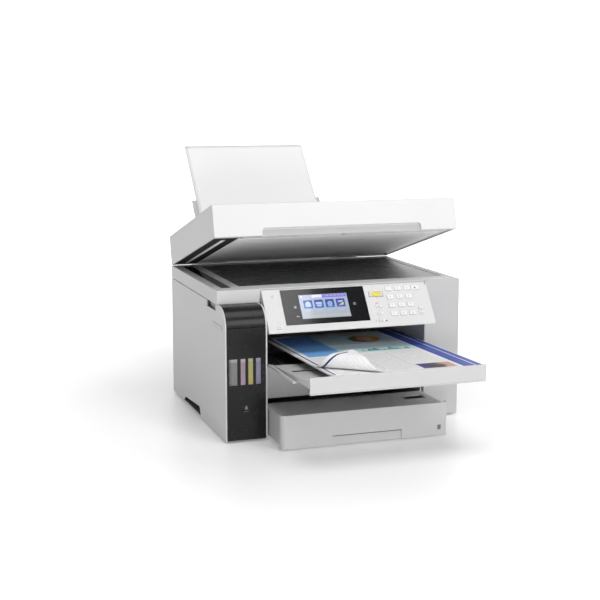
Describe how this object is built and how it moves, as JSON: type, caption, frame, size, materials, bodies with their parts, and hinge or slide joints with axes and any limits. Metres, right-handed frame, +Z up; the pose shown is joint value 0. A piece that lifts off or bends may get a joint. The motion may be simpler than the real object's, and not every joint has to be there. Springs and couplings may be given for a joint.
{
  "type": "inkjet printer",
  "caption": "Wide-format ink-tank inkjet printer with flatbed scanner, hinged feeder lid, tilting control panel, paper cassettes, sliding output tray and a rear paper support.",
  "frame": {"origin": "bottom centre of the bounding box, on the surface the feet stand on", "axes": "+X right, +Y towards the rear, +Z up, seen from the front"},
  "size_m": [0.515, 0.9264, 0.5369],
  "materials": {
    "white_plastic": "fine-textured matte white",
    "light_grey_plastic": "satin light grey",
    "mid_grey_plastic": "matte grey",
    "black_plastic": "satin black",
    "gloss_black_plastic": "high gloss",
    "bed_glass": "clear flat glass over a dark cavity",
    "zinc_plated_steel": "bright plated sheet",
    "dark_rubber": "matte",
    "white_foam_mat": "soft matte white",
    "paper": "uncoated white",
    "circuit_board": "green solder mask",
    "clouded_tank_plastic": "clouded, ink shows through",
    "yellow_key_plastic": "satin yellow"
  },
  "bodies": {
    "base": {"base_pan": "mid_grey_plastic", "left_side_cover": "white_plastic", "right_side_cover": "white_plastic", "right_column_cover": "white_plastic", "rear_cover": "white_plastic", "rear_feed_housing": "white_plastic", "power_inlet": "black_plastic", "foot_front_left": "dark_rubber", "foot_front_right": "dark_rubber", "foot_rear_left": "dark_rubber", "foot_rear_right": "dark_rubber", "ink_bay_wall": "white_plastic", "ink_front_panel": "black_plastic", "ink_tank_black": "clouded_tank_plastic", "ink_tank_magenta": "clouded_tank_plastic", "ink_tank_yellow": "clouded_tank_plastic", "ink_tank_cyan": "clouded_tank_plastic", "carriage_rail": "zinc_plated_steel", "platen": "black_plastic", "power_supply": "mid_grey_plastic", "main_board": "circuit_board", "paper_support": "light_grey_plastic"},
    "tank_cap_black": {"tank_cap_black": "black_plastic"},
    "tank_cap_magenta": {"tank_cap_magenta": "black_plastic"},
    "tank_cap_yellow": {"tank_cap_yellow": "black_plastic"},
    "tank_cap_cyan": {"tank_cap_cyan": "black_plastic"},
    "ink_cover": {"ink_cover": "black_plastic"},
    "print_carriage": {"print_carriage": "black_plastic"},
    "belt_pulley": {"belt_pulley": "light_grey_plastic"},
    "paper_feed_roller": {"paper_feed_roller": "zinc_plated_steel"},
    "eject_roller": {"eject_roller": "dark_rubber"},
    "pickup_roller_upper": {"pickup_roller_upper": "dark_rubber"},
    "pickup_roller_lower": {"pickup_roller_lower": "dark_rubber"},
    "maintenance_box": {"maintenance_box": "mid_grey_plastic"},
    "cassette_upper": {"cassette_upper": "light_grey_plastic"},
    "cassette_lower": {"cassette_lower": "light_grey_plastic", "lower_paper_stack": "paper"},
    "cassette_lower_extension": {"cassette_lower_extension": "light_grey_plastic", "cassette_lower_cover": "mid_grey_plastic"},
    "output_tray": {"output_tray": "light_grey_plastic"},
    "output_tray_front": {"output_tray_front": "light_grey_plastic", "printed_sheets": "paper"},
    "paper_support_extension": {"paper_support_extension": "light_grey_plastic"},
    "left_edge_guide": {"left_edge_guide": "mid_grey_plastic"},
    "right_edge_guide": {"right_edge_guide": "mid_grey_plastic"},
    "feed_sheet": {"feed_sheet": "paper"},
    "scanner_unit": {"scanner_housing": "white_plastic", "scanner_glass": "bed_glass"},
    "scan_carriage": {"scan_carriage": "black_plastic"},
    "lid": {"lid_shell": "white_plastic", "lid_liner": "white_plastic", "document_mat": "white_foam_mat"},
    "adf_cover": {"adf_cover": "white_plastic"},
    "adf_input_tray": {"adf_input_tray": "light_grey_plastic"},
    "control_panel": {"control_panel": "white_plastic", "display_glass": "gloss_black_plastic"},
    "keypad": {"keypad": "light_grey_plastic"},
    "power_button": {"power_button": "light_grey_plastic"},
    "start_button": {"start_button": "yellow_key_plastic"},
    "stop_button": {"stop_button": "light_grey_plastic"}
  },
  "joints": [
    {"name": "tank_cap_black_hinge", "type": "hinge", "parent": "base", "child": "tank_cap_black", "pos_m": [-0.24185, -0.20408, 0.214], "axis": [-1, 0, 0], "range_deg": [0, 75]},
    {"name": "tank_cap_magenta_hinge", "type": "hinge", "parent": "base", "child": "tank_cap_magenta", "pos_m": [-0.2225, -0.20408, 0.214], "axis": [-1, 0, 0], "range_deg": [0, 75]},
    {"name": "tank_cap_yellow_hinge", "type": "hinge", "parent": "base", "child": "tank_cap_yellow", "pos_m": [-0.2073, -0.20408, 0.214], "axis": [-1, 0, 0], "range_deg": [0, 75]},
    {"name": "tank_cap_cyan_hinge", "type": "hinge", "parent": "base", "child": "tank_cap_cyan", "pos_m": [-0.1921, -0.20408, 0.214], "axis": [-1, 0, 0], "range_deg": [0, 75]},
    {"name": "ink_cover_hinge", "type": "hinge", "parent": "base", "child": "ink_cover", "pos_m": [-0.2158, -0.19508, 0.2594], "axis": [-1, 0, 0], "range_deg": [0, 70]},
    {"name": "print_carriage_slide", "type": "slide", "parent": "base", "child": "print_carriage", "axis": [1, 0, 0], "range_m": [-0.3, 0]},
    {"name": "belt_pulley_spin", "type": "hinge", "parent": "base", "child": "belt_pulley", "pos_m": [-0.1975, 0.04092, 0.232], "axis": [0, 1, 0], "continuous": true},
    {"name": "paper_feed_roller_spin", "type": "hinge", "parent": "base", "child": "paper_feed_roller", "pos_m": [0.0055, 0.05692, 0.203], "axis": [1, 0, 0], "continuous": true},
    {"name": "eject_roller_spin", "type": "hinge", "parent": "base", "child": "eject_roller", "pos_m": [0.0055, -0.08408, 0.202], "axis": [1, 0, 0], "continuous": true},
    {"name": "pickup_roller_upper_spin", "type": "hinge", "parent": "base", "child": "pickup_roller_upper", "pos_m": [-0.0025, 0.06592, 0.112], "axis": [1, 0, 0], "continuous": true},
    {"name": "pickup_roller_lower_spin", "type": "hinge", "parent": "base", "child": "pickup_roller_lower", "pos_m": [-0.0025, 0.06592, 0.05], "axis": [1, 0, 0], "continuous": true},
    {"name": "maintenance_box_slide", "type": "slide", "parent": "base", "child": "maintenance_box", "axis": [0, 1, 0], "range_m": [0, 0.16]},
    {"name": "cassette_upper_slide", "type": "slide", "parent": "base", "child": "cassette_upper", "axis": [0, -1, 0], "range_m": [0, 0.28]},
    {"name": "cassette_lower_slide", "type": "slide", "parent": "base", "child": "cassette_lower", "axis": [0, -1, 0], "range_m": [0, 0.28]},
    {"name": "cassette_lower_extension_slide", "type": "slide", "parent": "cassette_lower", "child": "cassette_lower_extension", "axis": [0, 1, 0], "range_m": [0, 0.114]},
    {"name": "output_tray_slide", "type": "slide", "parent": "base", "child": "output_tray", "axis": [0, 1, 0], "range_m": [0, 0.125]},
    {"name": "output_tray_front_slide", "type": "slide", "parent": "output_tray", "child": "output_tray_front", "axis": [0, 1, 0], "range_m": [0, 0.12]},
    {"name": "paper_support_extension_slide", "type": "slide", "parent": "base", "child": "paper_support_extension", "axis": [0, 0.6691, 0.7431], "range_m": [-0.11, 0]},
    {"name": "left_edge_guide_slide", "type": "slide", "parent": "base", "child": "left_edge_guide", "axis": [-1, 0, 0], "range_m": [0, 0.01]},
    {"name": "right_edge_guide_slide", "type": "slide", "parent": "base", "child": "right_edge_guide", "axis": [1, 0, 0], "range_m": [0, 0.01]},
    {"name": "feed_sheet_slide", "type": "slide", "parent": "base", "child": "feed_sheet", "axis": [0, 0.6691, 0.7431], "range_m": [0, 0.2]},
    {"name": "scanner_hinge", "type": "hinge", "parent": "base", "child": "scanner_unit", "pos_m": [0, 0.19242, 0.2615], "axis": [1, 0, 0], "range_deg": [-28, 0]},
    {"name": "scan_carriage_slide", "type": "slide", "parent": "scanner_unit", "child": "scan_carriage", "axis": [1, 0, 0], "range_m": [0, 0.4]},
    {"name": "lid_hinge", "type": "hinge", "parent": "scanner_unit", "child": "lid", "pos_m": [0, 0.19392, 0.287], "axis": [-1, 0, 0], "range_deg": [-15.3, 42]},
    {"name": "adf_cover_hinge", "type": "hinge", "parent": "lid", "child": "adf_cover", "pos_m": [-0.2455, 0.02632, 0.39817], "axis": [0, -0.9646, 0.2639], "range_deg": [0, 75]},
    {"name": "adf_input_tray_hinge", "type": "hinge", "parent": "lid", "child": "adf_input_tray", "pos_m": [-0.1005, 0.02579, 0.39624], "axis": [0, -0.9646, 0.2639], "range_deg": [0, 40]},
    {"name": "control_panel_hinge", "type": "hinge", "parent": "base", "child": "control_panel", "pos_m": [0.0058, -0.19168, 0.2805], "axis": [-1, 0, 0], "range_deg": [0, 35]},
    {"name": "keypad_slide", "type": "slide", "parent": "control_panel", "child": "keypad", "axis": [0, 0.809, -0.5878], "range_m": [0, 0.0009], "stiffness_N_per_m": 800},
    {"name": "power_button_slide", "type": "slide", "parent": "control_panel", "child": "power_button", "axis": [0, 0.809, -0.5878], "range_m": [0, 0.0011], "stiffness_N_per_m": 300},
    {"name": "start_button_slide", "type": "slide", "parent": "control_panel", "child": "start_button", "axis": [0, 0.809, -0.5878], "range_m": [0, 0.0011], "stiffness_N_per_m": 300},
    {"name": "stop_button_slide", "type": "slide", "parent": "control_panel", "child": "stop_button", "axis": [0, 0.809, -0.5878], "range_m": [0, 0.0011], "stiffness_N_per_m": 300}
  ],
  "couplings": [
    {"joint": "belt_pulley_spin", "follows": "print_carriage_slide", "rad_per_m": 117.65},
    {"joint": "eject_roller_spin", "follows": "paper_feed_roller_spin", "ratio": 1.0625},
    {"joint": "right_edge_guide_slide", "follows": "left_edge_guide_slide", "ratio": 1}
  ]
}
